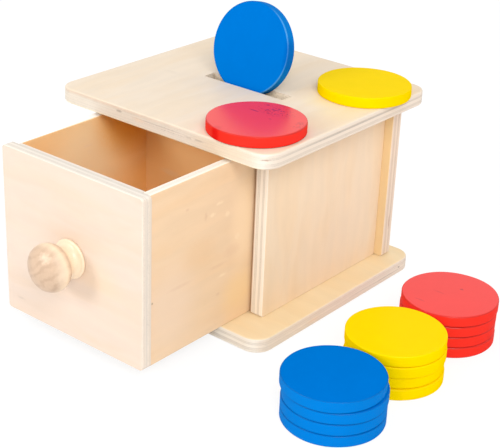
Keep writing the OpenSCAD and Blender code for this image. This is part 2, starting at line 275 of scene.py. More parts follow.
MARKS = {
    "top_panel": on_face(
        Z, 108, 1,
        (-43.8, -10.7, 7, 3, BARK_GREY, 0.06),
        (62, -12, 20, 22, HONEY_SAP, 0.3),
        # Painted reflection: yellow patches beside the yellow coin, for the glow it throws on the top
        (42, 11, 14, 14, PAINTED_YELLOW_GLOW, 0.3),
        (60, 3, 20, 14, PAINTED_YELLOW_GLOW, 0.25),
    ),
    "right_side_panel": (Mark((60, -15, 22), (2, 60, 40), HONEY_SAP, 0.2),),
    "drawer_front": on_face(
        Y, -129, 1,
        (-37.2, 16.6, 4, 0.9, BARK_GREY, 0.2),
        # Painted shade: a warm tint to the right of the knob, where its shadow falls
        (18, 48, 22, 13, HONEY_SAP, 0.2),
    ),
    "drawer_knob": (
        Mark((5, -150, 62.5), (6.5, 4, 5), KNOB_CREAM, 0.75),
        Mark((14, -146, 52), (6, 6, 16), KNOB_CREAM, 0.6),
    ),
    "drawer_right_side": on_face(
        X, 46.7, 2,
        (-108, 36, 26, 34, PINK_SAP, 0.7),
        (-88, 57, 17, 11, WARM_SAP, 0.5),
        (-56, 62, 13, 34, PALE_SAP, 0.7),
        (-58, 24, 18, 17, HONEY_SAP, 0.8),
        (-64, 49.5, 9, 5, STREAK_BROWN, 0.25),
        (-121.5, 42, 0.7, 0.8, VOID_BROWN, 0.6),
        (-79.6, 74, 3.2, 1.4, PALE_CURL, 0.6),
        (-74.3, 78.6, 3.6, 1.2, PALE_CURL, 0.5),
        (-68.3, 70.8, 2.6, 2.2, PALE_CURL, 0.5),
        (-71, 38.2, 4, 1.3, PALE_CURL, 0.5),
        (-60.3, 56, 3, 2.4, PALE_CURL, 0.4),
        (-84.4, 74.6, 1.4, 3.4, STREAK_BROWN, 0.4),
        (-97.8, 82.7, 1.6, 1.2, STREAK_BROWN, 0.4),
        (-74, 28.6, 2, 1.2, STREAK_BROWN, 0.4),
        (-75, 44.6, 9.5, 1.4, STREAK_BROWN, 0.3),
        (-102, 43.8, 12.5, 1.5, STREAK_BROWN, 0.25),
    ),
    "drawer_left_side": on_face(
        X, -41.7, 2,
        # Painted light on the lit part of the inner wall
        (-76, 78, 38, 34, PAINTED_WALL_LIGHT, 0.9),
        # Painted shade where the top panel shades the inner wall near its top, and a fainter patch further
        # back
        (-46, 93, 32, 30, PAINTED_DEEP_SHADE, 0.9),
        (-30, 50, 24, 26, PAINTED_DEEP_SHADE, 0.35),
        (-77, 84, 5.5, 1.2, PALE_CURL, 0.4),
        (-75.5, 80.5, 3, 2.5, PALE_CURL, 0.3, 0.6),
    ),
    "drawer_back": on_face(
        Y, -33, 2,
        # Painted light on the inner back of the drawer
        (-22, 66, 44, 28, PAINTED_BACK_LIGHT, 0.9),
        # Painted light: a pale band across the inner back, where a band of light falls
        (-24, 61, 11, 2.4, PALE_CURL, 0.4),
    ),
    "blue_slot_coin": (Mark((23.6, 6.5, 130), (4, 9, 22), SHADE_BLUE, 0.6),),
    "red_top_coin": (
        *on_face(
            Z, 114, 1,
            (36.4, -37.8, 4.2, 0.8, SCUFF_RED, 1),
            (36.5, -26.9, 1.6, 1.2, SCUFF_RED, 0.7),
            (43.1, -30.4, 2, 1.2, SCUFF_RED, 0.7),
            (43.7, -35.9, 1.4, 1, SCUFF_RED, 0.6),
            (49.6, -41.7, 1.4, 1, SCUFF_RED, 0.5),
            (42.7, -22.7, 3, 1.2, SCUFF_RED, 0.6, 0.6),
            (63.3, -35.6, 2, 2.6, SCUFF_RED, 0.5, 0.6),
            (45, -31, 15, 9, SCUFF_RED, 0.9, 1),
            (66, -38, 5, 9, SCUFF_RED, 0.6, 1),
        ),
        Mark((38.6, -69.5, 111), (4, 5, 12), SHADE_RED, 0.8),
    ),
    "red_stack_coin_4": on_face(
        Z, 24, 1,
        (130, 23.6, 1.4, 1.2, SCUFF_RED, 0.6),
        (120, -0.8, 4, 0.9, SCUFF_RED, 0.25),
        (123, 13, 5, 0.9, SCUFF_RED, 0.2),
    ),
}

COLOURS = ("blue", "yellow", "red")
COIN_NODES = [name for name in frame["nodes"] if name.endswith("_coin") or "_coin_" in name]
COIN_PARTS = ("side_part", "rim_part", "crevice_part")
COIN_AROUND = 160
FACE_RINGS = (0.2, 0.4, 0.6, 0.8, 0.95, 0.99)
RIM_STEPS = 9
# Share of the painted crevice shade that also lies round a coin's upper rim
UPPER_CREVICE = 0.3
KNOB_AROUND = 128
FOOT_STEPS = 5
BEAD_STEPS = 12
COVE_STEPS = 28
HEAD_STEPS = 40
CROWN_STEPS = 16
SCREW_AROUND = 64
SCREW_FACE_STEPS = 16
SHANK_STEPS = 110
STANDING_COIN = "blue_slot_coin"
COIN_SEED = 7
GRAIN_SHIFT = 500.0

# The floor's disc, where the lamps point and what the camera sees, in metres, but its sensor in millimetres
FLOOR_AROUND = 64
FLOOR_RINGS = 10
FLOOR_REACH = 6.0
FLOOR_LEVEL = -0.0001
LAMP_AIM = Vector((0.0, -0.02, 0.06))
SENSOR_WIDTH = 36.0
NEAREST_SEEN = 0.01


def colour(name, description, default):
    """A colour of the wood, paint or floor, in linear light."""
    return FloatVectorProperty(
        name=name, description=description, default=default, subtype="COLOR", size=3, min=0.0, max=1.0
    )


def length(name, description, default):
    """A length of a piece, in metres."""
    return FloatProperty(name=name, description=description, default=default, unit="LENGTH", precision=5)


def share(name, description, default):
    """A share between none and all."""
    return FloatProperty(
        name=name, description=description, default=default, subtype="FACTOR", min=0.0, max=1.0
    )


def tilt(name, description, degrees):
    """An angle, written in degrees and kept in radians."""
    return FloatProperty(
        name=name, description=description, default=math.radians(degrees), subtype="ANGLE", unit="ROTATION"
    )


def lamp_way(name, description, default):
    """The direction of a lamp from the box."""
    return FloatVectorProperty(name=name, description=description, default=default, subtype="DIRECTION")


def lamp_power(name, description, default):
    """The power of a lamp, in watts."""
    return FloatProperty(name=name, description=description, default=default, unit="POWER")


def gloss(name, owner, default):
    """The strengths of a paint's gloss on the faces, the rims and the sides of a coin."""
    description = f"Strength of the gloss on the faces, the rims and the sides of {owner}"
    return FloatVectorProperty(name=name, description=description, default=default, size=3, min=0.0, max=1.0)


class COINBOX_PG_plywood(bpy.types.PropertyGroup):
    """Veneers of the boards and what shows on their edges."""

    front_veneer: colour("Drawer front", "Face of the drawer's front", (0.775, 0.63, 0.525))
    top_veneer: colour("Top", "Faces of the top panel", (0.835, 0.705, 0.555))
    side_veneer: colour("Sides", "Faces of the side panels", (0.87, 0.70, 0.51))
    back_veneer: colour("Back", "Faces of the back panel", (0.86, 0.665, 0.385))
    base_veneer: colour("Base", "Faces of the base panel", (0.875, 0.71, 0.46))
    drawer_veneer: colour("Drawer walls", "Outer faces of the drawer's sides and back", (0.84, 0.605, 0.39))
    # Painted light: the drawer's inside is more orange and lighter than its outer faces, for the light
    # bounced round inside it
    inside_veneer: colour("Drawer's inside", "Faces on the inside of the drawer", (0.99, 0.645, 0.315))
    edge_long: colour("Long grain", "Plies that show their long grain on an edge", (0.95, 0.87, 0.755))
    edge_end: colour("End grain", "Plies that show their end grain on an edge", (0.655, 0.57, 0.465))
    # Painted shade: edges that face +X are tinted darker for how the light falls on them
    edge_tan: colour("Right shade", "Tint of the edges on the right, which have darkened", (0.93, 0.88, 0.85))
    end_shade: share("End shade", "How much darker a ply is where it shows its end grain", 0.12)
    figure: share("Figure", "How strongly the broad figure of the veneer shows", 0.07)
    mottle: share("Mottle", "How strongly soft blotches show in the veneer", 0.06)
    fibre: share("Fibre", "How strongly the fine fibres show", 0.04)
    relief: length("Relief", "Depth of the grain's relief", 0.00003)


class COINBOX_PG_coins(bpy.types.PropertyGroup):
    """Paint and hand-sanded rims of the coins."""

    blue: colour("Blue paint", "Colour of the blue coins' faces", (0.0, 0.16, 0.585))
    # Painted light: the blue and yellow sides are lighter copies of their faces' paint, for the light the
    # sides catch
    blue_side: colour("Blue sides", "Colour of the blue coins' sides", (0.0, 0.185, 0.60))
    yellow: colour("Yellow paint", "Colour of the yellow coins' faces", (0.90, 0.635, 0.0))
    yellow_side: colour("Yellow sides", "Colour of the yellow coins' sides", (0.92, 0.65, 0.0))
    red: colour("Red paint", "Colour of the red coins' faces", (0.84, 0.028, 0.022))
    red_side: colour("Red sides", "Colour of the red coins' sides", (0.84, 0.03, 0.018))
    blue_gloss: gloss("Blue gloss", "the blue coins", (0.0, 0.12, 0.06))
    yellow_gloss: gloss("Yellow gloss", "the yellow coins", (0.08, 0.05, 0.0))
    red_gloss: gloss("Red gloss", "the red coins", (0.95, 0.05, 0.1))
    slot_lean: tilt("Lean", "How far the coin in the slot leans back", 14.0)
    rim_round: length("Rim", "Radius of the rims", 0.0007)
    rim_wander: share("Wander", "How much a rim's radius wanders round the coin", 0.3)
    face_fall: length("Fall", "How far a face falls from its middle to its rim", 0.00004)
    relief: length("Relief", "Depth of the grain that shows through the paint", 0.000012)
    # Painted highlight: a pale blue along the rim on the standing coin's right, for the glint it catches
    worn: share("Painted glint", "How pale the paint is along the worn part of the standing coin's rim", 0.6)
    worn_hue: colour("Glint colour", "Colour of the worn part of the standing coin's rim", (0.15, 0.52, 0.95))
    # Painted shade: how much darker the paint is along the lower rims, where coins meet
    blue_crevice: share("Blue crevice", "How much darker the blue paint is along the lower rims", 0.75)
    yellow_crevice: share("Yellow crevice", "How much darker the yellow paint is along the lower rims", 0.05)
    red_crevice: share("Red crevice", "How much darker the red paint is along the lower rims", 0.85)


class COINBOX_PG_knob(bpy.types.PropertyGroup):
    """The knob's outline and wood."""

    pale: colour("Pale wood", "Wood between the growth rings", (0.90, 0.72, 0.515))
    ring: colour("Rings", "Growth rings of the knob", (0.60, 0.42, 0.29))
    end_tint: colour("End grain", "Tint of the wood where it shows its end grain", (0.71, 0.63, 0.61))
    head_rim: length("Head's rim", "Radius of the head's rounded rim", 0.007)
    head_at: length("Head's place", "Distance from the foot to the head's widest ring", 0.0138)
    foot_radius: length("Foot", "Radius of the foot", 0.01025)
    foot_bead: length("Bead", "Radius of the bead round the foot", 0.0009)
    cove: length("Cove", "Radius of the hollow between the foot and the head", 0.0032)
    ring_gap: length("Ring gap", "Distance from one growth ring to the next", 0.0042)


class COINBOX_PG_fastenings(bpy.types.PropertyGroup):
    """Screws and dowels."""

    steel: colour("Steel", "Bright plating of the screws", (0.62, 0.62, 0.63))
    dowel: colour("Dowels", "Wood of the dowels", (0.72, 0.54, 0.34))
    core: length("Core", "Radius of a screw under its thread", 0.0011)
    thread: length("Thread", "Height of the thread", 0.0004)
    pitch: length("Pitch", "Distance from one turn of the thread to the next", 0.0012)
    head_high: length("Head", "Height of the countersunk head", 0.0015)
    cross_wide: length("Cross width", "Width of an arm of the cross in the head", 0.0007)
    cross_long: length("Cross length", "Length of an arm of the cross in the head", 0.003)
    cross_deep: length("Cross depth", "Depth of the cross in the head", 0.001)
    pin_inset: length("Pin inset", "Distance of a side panel's screws from its ends", 0.018)


class COINBOX_PG_stage(bpy.types.PropertyGroup):
    """Floor, light and camera."""

    floor: colour("Floor", "Colour of the floor for the light that it throws back", (0.88, 0.88, 0.88))
    floor_seen: share("Floor's own light", "Part of the floor's white that shadows don't reach", 0.83)
    floor_shade: share("Floor's shade", "Part of the floor's white that shadows dim", 0.20)
    horizon: FloatProperty(name="Horizon", description="Light from the sky's rim", default=0.70, min=0.0)
    zenith: FloatProperty(name="Zenith", description="Light from straight above", default=0.80, min=0.0)
    key_from: lamp_way("Key", "Direction of the key lamp", (-0.30, -0.86, 0.405))
    key_away: length("Key distance", "Distance of the key lamp", 1.2)
    key_size: length("Key size", "Side of the key lamp", 0.36)
    key_power: lamp_power("Key power", "Power of the key lamp", 3.7)
    fill_from: lamp_way("Fill", "Direction of the fill lamp", (0.62, -0.48, 0.62))
    fill_away: length("Fill distance", "Distance of the fill lamp", 1.5)
    fill_size: length("Fill size", "Side of the fill lamp", 0.7)
    fill_power: lamp_power("Fill power", "Power of the fill lamp", 10.5)
    target: FloatVectorProperty(
        name="Target", description="Point that the camera looks at",
        default=(0.001703, 0.006322, 0.025046), subtype="TRANSLATION", unit="LENGTH",
    )
    away: length("Camera distance", "Distance of the camera from its target", 0.727647)
    azimuth: tilt("Azimuth", "Turn of the camera to the right of the drawer", 38.477)
    elevation: tilt("Elevation", "Height of the camera above the table", 25.307)
    roll: tilt("Roll", "Turn of the camera about its own axis", 2.412)
    lens: FloatProperty(
        name="Lens", description="Focal length for a 36 mm wide picture", default=92.765, unit="CAMERA"
    )


class Value:
    """A number, colour or vector in a node tree. Arithmetic on numbers adds Math nodes."""

    def __init__(self, nodes, socket):
        self.nodes = nodes
        self.socket = socket

    def also(self, output):
        """Another output of the same node."""
        return Value(self.nodes, self.socket.node.outputs[output])

    def math(self, operation, *terms):
        """The result of a Math node on this number and the other terms."""
        return self.nodes.add("ShaderNodeMath", {"operation": operation}, dict(enumerate((self, *terms))))

    def __rsub__(self, other):
        return self.nodes.add("ShaderNodeMath", {"operation": "SUBTRACT"}, {0: other, 1: self})

    __add__ = __radd__ = partialmethod(math, "ADD")
    __sub__ = partialmethod(math, "SUBTRACT")
    __mul__ = __rmul__ = partialmethod(math, "MULTIPLY")
    __truediv__ = partialmethod(math, "DIVIDE")
    __mod__ = partialmethod(math, "MODULO")
    __gt__ = partialmethod(math, "GREATER_THAN")
    __abs__ = partialmethod(math, "ABSOLUTE")
    least = partialmethod(math, "MINIMUM")
    sine = partialmethod(math, "SINE")
    root = partialmethod(math, "SQRT")


class Nodes:
    """A node tree as it is written."""

    def __init__(self, tree):
        self.tree = tree
        tree.nodes.clear()

    def add(self, kind, settings=None, inputs=None, output=0):
        """Adds a node, sets its settings, then fills its inputs, and gives one of its outputs."""
        made = self.tree.nodes.new(kind)
        for key, setting in (settings or {}).items():
            setattr(made, key, setting)
        for key, given in (inputs or {}).items():
            if isinstance(given, Value):
                self.tree.links.new(given.socket, made.inputs[key])
            else:
                made.inputs[key].default_value = given
        return Value(self, made.outputs[output]) if made.outputs else None

    def split(self, vector):
        """The three parts of a vector."""
        parts = self.add("ShaderNodeSeparateXYZ", None, {0: vector})
        return [parts, parts.also(1), parts.also(2)]

    def join(self, x, y, z):
        """A vector of three numbers."""
        return self.add("ShaderNodeCombineXYZ", None, {0: x, 1: y, 2: z})

    def vector(self, operation, first, second, output=0):
        """The result of a Vector Math node."""
        return self.add("ShaderNodeVectorMath", {"operation": operation}, {0: first, 1: second}, output)

    def dim(self, hue, level):
        """A colour or vector times a number."""
        return self.add("ShaderNodeVectorMath", {"operation": "SCALE"}, {0: hue, "Scale": level})

    def blend(self, part, first, second):
        """A colour that goes from the first to the second as the part goes from 0 to 1."""
        inputs = {0: part, 6: opaque(first), 7: opaque(second)}
        return self.add("ShaderNodeMix", {"data_type": "RGBA"}, inputs, 2)

    def noise(self, place, detail=2.0, distortion=0.0):
        """Soft noise from 0 to 1, with lumps about one unit wide."""
        inputs = {"Vector": place, "Scale": 1.0, "Detail": detail, "Distortion": distortion}
        return self.add("ShaderNodeTexNoise", None, inputs)

    def spots(self, place, width, detail):
        """Soft noise from 0 to 1, with lumps of that width."""
        return self.noise(self.dim(place, 1.0 / width), detail)

    def lumps(self, parts, size, detail=2.0, distortion=0.0):
        """Soft noise from 0 to 1, with lumps of that size along each of three axes."""
        return self.noise(self.join(*(part / side for part, side in zip(parts, size))), detail, distortion)

    def ramp(self, number, low, high, smooth=True, to=(0.0, 1.0)):
        """The number's place between low and high, from to's first value to its second."""
        settings = {"interpolation_type": "SMOOTHSTEP" if smooth else "LINEAR"}
        inputs = {"Value": number, "From Min": low, "From Max": high, "To Min": to[0], "To Max": to[1]}
        return self.add("ShaderNodeMapRange", settings, inputs)

    def bump(self, height, depth):
        """The surface's normal over a relief of that depth in metres."""
        return self.add("ShaderNodeBump", None, {"Height": height, "Distance": depth})

    def surface(self, **sockets):
        """Ends a material with one shader whose sockets are given with underscores for spaces."""
        inputs = {key.replace("_", " "): given for key, given in sockets.items()}
        shader = self.add("ShaderNodeBsdfPrincipled", None, inputs)
        self.add("ShaderNodeOutputMaterial", None, {"Surface": shader})

    def seen(self):
        """1 for rays that show the surroundings, straight or in a reflection, and 0 for the rest."""
        path = self.add("ShaderNodeLightPath", output="Is Camera Ray")
        return (path + path.also("Is Glossy Ray") + path.also("Is Transmission Ray")).least(1.0)


def opaque(hue):
    """A plain colour with its alpha, or a linked one as it is."""
    return hue if isinstance(hue, Value) else (*hue[:3], 1.0)


def new_finish(name):
    """A new material and its empty tree."""
    material = bpy.data.materials.new(name)
    material.use_nodes = True
    return material, Nodes(material.node_tree)


def object_place(nodes):
    """The point of the surface in millimetres, and the object's own normal."""
    coords = nodes.add("ShaderNodeTexCoord", output="Object")
    return nodes.dim(coords, MM), coords.also("Normal")


def marked(nodes, hue, place, marks):
    """A colour with marks laid over it, each fading out towards the rim of its ellipsoid.

    The marks are natural ones, painted light and painted shade. The rim of a small mark is ragged. That of a
    broad one is soft.
    """
    if not marks:
        return hue
    ragged = (nodes.spots(place, RAGGED_WIDTH, 2.0) - 0.5) * RAGGED_DEPTH
    grit = nodes.ramp(nodes.spots(place, GRIT_WIDTH, 1.0), 0.54, 0.64)
    for mark in marks:
        off = nodes.vector("DIVIDE", nodes.vector("SUBTRACT", place, mark.middle), mark.reach)
        rough = min(1.0, RAGGED_REACH / max(mark.reach))
        inside = nodes.ramp(nodes.vector("LENGTH", off, (0, 0, 0), "Value") + ragged * rough, 1.0, 0.2)
        laid = inside * (grit * mark.broken + (1.0 - mark.broken))
        hue = nodes.blend(laid * mark.strength, hue, mark.colour)
    return hue


def plywood(board, looks):
    """Birch plywood.

    Every other ply's grain runs across the board, so an edge shows long and end grain by turns.
    """
    low, high = (float(corner[board.through]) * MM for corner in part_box(board.node))
    width = ({X, Y, Z} - {board.through, board.grain}).pop()
    material, nodes = new_finish(board.node + "_birch")
    place, normal = object_place(nodes)
    axes = nodes.split(place)
    turned = nodes.split(normal)
    facing = [abs(part) for part in turned]
    a, b, c = axes[board.grain], axes[width], axes[board.through]
    seed = board.number * 41.0

    waver = nodes.noise(nodes.join(a / PLY_WAVE, b / PLY_WAVE, seed)) - 0.5
    depth = nodes.ramp(c + waver * PLY_WAVER, low, high, smooth=False, to=(0.001, 0.999))
    ply = reduce(add, [depth > share_at for share_at in board.plies])
    cross = ply % 2.0
    across = b + cross * (a - b)
    grain = (a + cross * (b - a), across, c + ply * 13.0 + seed)

    fibre = nodes.lumps(grain, FIBRE_SIZE, 3.0)
    fleck = nodes.ramp(nodes.lumps(grain, FLECK_SIZE, 1.0), 0.64, 0.76)
    figure = nodes.lumps(grain, FIGURE_SIZE, 3.0, 0.5)
    mottle = nodes.lumps(grain, MOTTLE_SIZE)
    bands = (across * 0.55 + figure * 16.0).sine()
    tone = 1.0 + (fibre - 0.5) * looks.fibre + (figure - 0.5) * looks.figure + (mottle - 0.5) * looks.mottle
    tone = tone + bands * (0.15 * looks.figure) - fleck * (0.6 * looks.fibre)

    veneers = [getattr(looks, face + "_veneer") for face in (board.low_face, board.high_face)]
    veneer = nodes.blend(depth > 0.5, *veneers)
    figured = nodes.vector("MULTIPLY", veneer, FIGURE_TINT)
    face = nodes.blend(nodes.ramp(figure, 0.35, 0.7), veneer, figured)
    end = facing[board.grain] + cross * (facing[width] - facing[board.grain])
    pores = nodes.ramp(nodes.lumps((a, b, c), PORE_SIZE, 1.0), 0.5, 0.72)
    ply_tone = nodes.add("ShaderNodeTexWhiteNoise", {"noise_dimensions": "1D"}, {"W": ply * 1.7 + seed})
    edge = nodes.blend(end * looks.end_shade + cross * board.core_shade, looks.edge_long, looks.edge_end)
    edge = nodes.dim(edge, board.edge_tone - 0.03 + ply_tone * 0.06 - end * pores * 0.12)
    # Painted shade: edges turned towards +X take the darker tint
    right_shaded = nodes.vector("MULTIPLY", edge, looks.edge_tan)
    edge = nodes.blend(nodes.ramp(turned[X], 0.5, 0.9), edge, right_shaded)
    edge = marked(nodes, edge, place, EDGE_MARKS.get(board.node, ()))
    skin = nodes.ramp(facing[board.through], 0.5, 0.9)
    glue = reduce(Value.least, [abs(depth - share_at) for share_at in board.plies])
    glue_line = nodes.ramp(glue, 0.03, 0.008) * (1.0 - skin)
    hue = nodes.dim(nodes.blend(skin, edge, face), tone - glue_line * (0.5 * board.core_shade))
    hue = marked(nodes, hue, place, MARKS.get(board.node, ()))

    nodes.surface(
        Base_Color=hue,
        Roughness=0.5 + (fibre - 0.5) * 0.2 + end * (1.0 - skin) * 0.15,
        Specular_IOR_Level=0.3,
        Normal=nodes.bump(fibre + bands * 0.1 - fleck * 0.5, looks.relief),
    )
    return material


def paint(name, looks, marks, worn=0.0):
    """Satin paint on wood. It follows each coin's own grain, which the coin carries in an attribute.

    Painted highlight: a glinting share lays a pale hue along the rim on the coin's right.
    """
    material, nodes = new_finish(name + "_satin_paint")
    place = nodes.add("ShaderNodeAttribute", {"attribute_name": "grain_place"}, output="Vector")
    spot, _ = object_place(nodes)
    hue = getattr(looks, name)
    fibre = nodes.lumps(nodes.split(place), PAINTED_FIBRE_SIZE, 3.0)
    cloud = nodes.spots(place, PAINT_CLOUD_WIDTH, 3.0)
    peel = nodes.spots(place, PAINT_PEEL_WIDTH, 1.0)
    tone = 1.0 + (cloud - 0.5) * 0.06 + (fibre - 0.5) * 0.02
    side, rim, crevice = (
        nodes.add("ShaderNodeAttribute", {"attribute_name": part}, output="Fac") for part in COIN_PARTS
    )
    face_gloss, rim_gloss, side_gloss = getattr(looks, name + "_gloss")
    # Painted highlight: the glinting share lays the pale hue along the rim on the coin's right
    right = nodes.ramp(nodes.split(spot)[X], 4.0, 16.0)
    # Painted shade along the lower rims, where stacked coins meet
    shade = 1.0 - crevice * getattr(looks, name + "_crevice")
    # Painted light: the sides take their own colour, lighter than the faces' for blue and yellow
    face_and_side_paint = nodes.blend(side, hue, getattr(looks, name + "_side"))
    coat = nodes.dim(nodes.blend(rim * right * worn, face_and_side_paint, looks.worn_hue), tone * shade)
    nodes.surface(
        Base_Color=marked(nodes, coat, spot, marks),
        Roughness=0.32 + (cloud - 0.5) * 0.12 + (peel - 0.5) * 0.08,
        Specular_IOR_Level=0.0,
        Coat_Weight=side * (side_gloss - face_gloss) + rim * rim_gloss + face_gloss,
        Coat_Roughness=0.2,
        Normal=nodes.bump(fibre * 0.6 + peel * 0.4, looks.relief),
    )
    return material


def turned_beech(looks, foot, marks):
    """Turned wood with growth rings round a pith up and to the left of the knob, and pores along its axis.

    The head shows its end grain, browner and blotched. The neck and the foot stay cream.
    """
    material, nodes = new_finish("turned_beech")
    place, normal = object_place(nodes)
    parts = nodes.split(place)
    sway = nodes.lumps(parts, KNOB_SWAY_SIZE, 3.0)
    off_x = parts[X] - (foot.x * MM - PITH_LEFT)
    off_z = parts[Z] - (foot.z * MM + PITH_UP)
    rings = ((off_x * off_x + off_z * off_z).root() + sway * 7.0) / (looks.ring_gap * MM)
    late = nodes.ramp((rings * (2.0 * math.pi)).sine(), -0.8, 1.0)
    patch = nodes.ramp(nodes.lumps(parts, KNOB_PATCH_SIZE), 0.38, 0.64)
    fibre = nodes.lumps(parts, KNOB_FIBRE_SIZE)
    pores = nodes.ramp(nodes.lumps(parts, KNOB_PORE_SIZE, 1.0), 0.6, 0.75)
    head = nodes.ramp(parts[Y], foot.y * MM - 8.0, foot.y * MM - 11.0)
    end = nodes.ramp(abs(nodes.split(normal)[Y]), -0.1, 0.65) * head
    hue = nodes.blend(late * (0.05 + end * 0.12 + patch * end * 0.16), looks.pale, looks.ring)
    hue = nodes.blend(end, hue, nodes.vector("MULTIPLY", hue, looks.end_tint))
    hue = nodes.dim(hue, 1.0 + (fibre - 0.5) * 0.1 - pores * 0.06 - patch * end * 0.05)
    nodes.surface(
        Base_Color=marked(nodes, hue, place, marks),
        Roughness=0.36 + (fibre - 0.5) * 0.15 + end * 0.08,
        Specular_IOR_Level=0.4,
        Coat_Weight=0.55 - end * 0.5,
        Coat_Roughness=0.16,
        Normal=nodes.bump(fibre - pores * 0.5 + late * 0.3, KNOB_RELIEF),
    )
    return material


def dowel_beech(looks):
    """Bare hardwood with short flecks."""
    material, nodes = new_finish("dowel_beech")
    place, _ = object_place(nodes)
    fibre = nodes.spots(place, DOWEL_FIBRE_WIDTH, 3.0)
    fleck = nodes.ramp(nodes.spots(place, DOWEL_FLECK_WIDTH, 1.0), 0.6, 0.75)
    nodes.surface(
        Base_Color=nodes.dim(looks.dowel, 1.0 + (fibre - 0.5) * 0.2 - fleck * 0.2),
        Roughness=0.65 + (fibre - 0.5) * 0.1,
        Normal=nodes.bump(fibre - fleck * 0.5, DOWEL_RELIEF),
    )
    return material


def plated_steel(looks):
    """Bright plated steel, clouded a little as zinc is."""
    material, nodes = new_finish("plated_steel")
    place, _ = object_place(nodes)
    cloud = nodes.spots(place, STEEL_CLOUD_WIDTH, 3.0)
    nodes.surface(
        Base_Color=nodes.dim(looks.steel, 0.92 + cloud * 0.16),
        Roughness=0.24 + cloud * 0.16,
        Metallic=1.0,
        Normal=nodes.bump(cloud, STEEL_RELIEF),
    )
    return material


def pale_floor(looks):
    """A matt floor that the camera sees as white and that keeps part of the object's shadow."""
    material, nodes = new_finish("pale_floor")
    thrown = nodes.add("ShaderNodeBsdfDiffuse", None, {"Color": opaque(looks.floor)})
    shaded = nodes.add("ShaderNodeBsdfDiffuse", None, {"Color": (looks.floor_shade,) * 3 + (1.0,)})
    own = nodes.add("ShaderNodeEmission", None, {"Strength": looks.floor_seen})
    shown = nodes.add("ShaderNodeAddShader", None, {0: shaded, 1: own})
    surface = nodes.add("ShaderNodeMixShader", None, {0: nodes.seen(), 1: thrown, 2: shown})
    nodes.add("ShaderNodeOutputMaterial", None, {"Surface": surface})
    return material


def turn_angles(around):
    """The angles of the rings' points, as a column."""
    return np.linspace(0.0, 2.0 * np.pi, around, endpoint=False)[:, None]


def turned_body(radius, height, ends):
    """Points and faces of a closed turned body.

    At angle t = 2 pi j / n and step i the surface stands at radius[j, i] from the axis and height[j, i]
    along it: (r cos t, r sin t, h). Ends are the heights where the axis comes out below and above, each one
    point in a fan.
    """
    around, along = radius.shape
    angle = turn_angles(around)
    grid = np.stack([radius * np.cos(angle), radius * np.sin(angle), height], axis=-1).reshape(-1, 3)
    points = np.vstack([grid, [[0.0, 0.0, ends[0]], [0.0, 0.0, ends[1]]]])
    index = np.arange(around * along).reshape(around, along)
    after = np.roll(index, -1, axis=0)
    quads = np.stack([index[:, :-1], after[:, :-1], after[:, 1:], index[:, 1:]], axis=-1).reshape(-1, 4)
    below = np.stack([np.full(around, grid.shape[0]), after[:, 0], index[:, 0]], axis=-1)
    above = np.stack([np.full(around, grid.shape[0] + 1), index[:, -1], after[:, -1]], axis=-1)
    return points, quads.tolist() + np.vstack([below, above]).tolist()


def coin_body(radius, thick, looks, draw):
    """A disc with rounded rims, walked from its lower face's middle over its side to the upper one's middle.

    On a face r = k (R - e) and z = h - f k^2, with k from 0 to 1. Round a rim r = R - e + e sin a and
    z = h - f - e + e cos a, with a from 0 to 90 degrees. The rim's radius e wanders with the angle t as
    e (1 + w (sin(2 t + p) + sin(5 t + q)) / 2), as a hand-sanded rim does.
    """
    angle = turn_angles(COIN_AROUND)
    phase = draw.uniform(0.0, 2.0 * np.pi, 2)
    waves = (np.sin(2.0 * angle + phase[0]) + np.sin(5.0 * angle + phase[1])) / 2.0
    rim = looks.rim_round * (1.0 + looks.rim_wander * waves)
    half = thick / 2.0
    flat = np.array(FACE_RINGS)
    arc = np.linspace(0.0, np.pi / 2.0, RIM_STEPS)
    out = np.hstack([flat * (radius - rim), radius - rim + rim * np.sin(arc)])
    face_up = np.broadcast_to(half - looks.face_fall * flat**2, (COIN_AROUND, flat.size))
    up = np.hstack([face_up, half - looks.face_fall - rim + rim * np.cos(arc)])
    return turned_body(np.hstack([out, out[:, ::-1]]), np.hstack([-up, up[:, ::-1]]), (-half, half))


def coin_parts():
    """How much each point of a coin belongs to its side, its rims and the crevices under and over it.

    With a from 0 at a face to 90 degrees at the side, the side's part is sin^2 a, the rim's part is sin 2a,
    and the crevice's part is cos^2 a round the lower rim and a share of sin 2a round the upper one.
    """
    face = np.zeros(len(FACE_RINGS))
    arc = np.linspace(0.0, np.pi / 2.0, RIM_STEPS)
    side = np.hstack([face, np.sin(arc) ** 2])
    rim = np.hstack([face, np.sin(2.0 * arc)])
    lower = np.hstack([face + 1.0, np.cos(arc) ** 2])
    # The crevice's part sets where painted shade darkens the paint
    halves = ((side, side), (rim, rim), (lower, UPPER_CREVICE * rim))
    walks = [np.hstack([below, above[::-1]]) for below, above in halves]
    parts = [np.hstack([np.tile(walk, COIN_AROUND), walk[[0, -1]]]) for walk in walks]
    return dict(zip(COIN_PARTS, parts))


def arc_points(middle, radius, start, stop, steps):
    """Points of an arc about a middle, from one angle to another."""
    turn = np.linspace(start, stop, steps)
    return np.stack([middle[0] + radius * np.cos(turn), middle[1] + radius * np.sin(turn)], axis=-1)


def heading(start, stop):
    """The angle of the way from one point to another."""
    return math.atan2(stop[1] - start[1], stop[0] - start[0])


